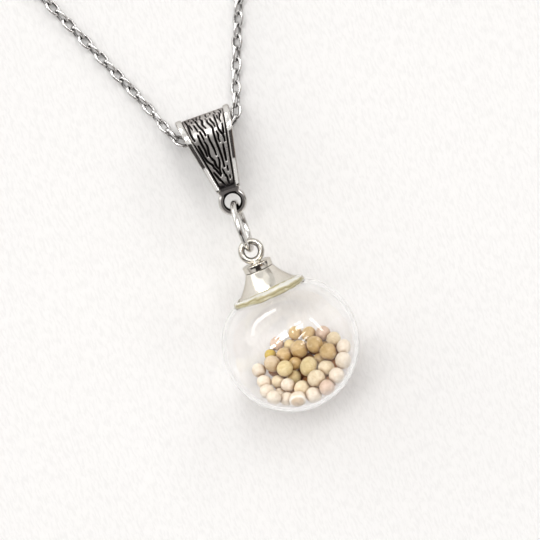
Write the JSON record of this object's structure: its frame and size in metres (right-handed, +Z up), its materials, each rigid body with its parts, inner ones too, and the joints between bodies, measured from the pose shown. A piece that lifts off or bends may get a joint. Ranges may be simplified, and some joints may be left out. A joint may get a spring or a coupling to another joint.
{
  "type": "glass ball pendant necklace",
  "caption": "Hollow glass ball part-filled with small round seeds, under a flared cap, linked by a ring to a tapered bark-textured bail on a fine cable chain laid out flat.",
  "frame": {"origin": "middle of the whole necklace in plan, on the surface that it lies on", "axes": "+Y from the ball along the pendant to the far end of the chain loop, +X to the right across the loop, +Z up from the surface"},
  "size_m": [0.1102, 0.2286, 0.02],
  "materials": {
    "chain_steel": "bright steel cable chain with soft wear and dark gaps between the links",
    "clasp_steel": "plain bright steel",
    "bail_silver": "antiqued silver plate, polished side rims and blackened recesses",
    "ring_silver": "bright silver plate",
    "cap_silver": "bright silver plate, mirror smooth",
    "clear_glue": "glossy clear glue with a faint yellow tint, slightly uneven",
    "ball_glass": "clear blown glass, glossy",
    "seed_tan": "dry matt seed coat, tan with fine mottling",
    "seed_cream": "dry matt seed coat, pale cream with fine mottling"
  },
  "bodies": {
    "root": {"chain": "chain_steel", "clasp": "clasp_steel", "bail": "bail_silver", "jump_ring": "ring_silver", "bell_cap": "cap_silver", "glue_ring": "clear_glue", "glass_ball": "ball_glass", "seed_01": "seed_cream", "seed_02": "seed_tan", "seed_03": "seed_tan", "seed_04": "seed_cream", "seed_05": "seed_tan", "seed_06": "seed_tan", "seed_07": "seed_cream", "seed_08": "seed_tan", "seed_09": "seed_tan", "seed_10": "seed_tan", "seed_11": "seed_tan", "seed_12": "seed_cream", "seed_13": "seed_tan", "seed_14": "seed_tan", "seed_15": "seed_cream", "seed_16": "seed_cream", "seed_17": "seed_tan", "seed_18": "seed_tan", "seed_19": "seed_tan", "seed_20": "seed_tan", "seed_21": "seed_tan", "seed_22": "seed_tan", "seed_23": "seed_cream", "seed_24": "seed_cream", "seed_25": "seed_cream", "seed_26": "seed_cream", "seed_27": "seed_cream", "seed_28": "seed_cream", "seed_29": "seed_cream", "seed_30": "seed_cream", "seed_31": "seed_cream", "seed_32": "seed_cream", "seed_33": "seed_cream", "seed_34": "seed_cream", "seed_35": "seed_cream", "seed_36": "seed_tan", "seed_37": "seed_tan", "seed_38": "seed_tan", "seed_39": "seed_cream", "seed_40": "seed_tan", "seed_41": "seed_tan", "seed_42": "seed_tan", "seed_43": "seed_tan", "seed_44": "seed_tan", "seed_45": "seed_tan", "seed_46": "seed_cream", "seed_47": "seed_tan", "seed_48": "seed_cream", "seed_49": "seed_cream", "seed_50": "seed_tan"}
  },
  "joints": []
}
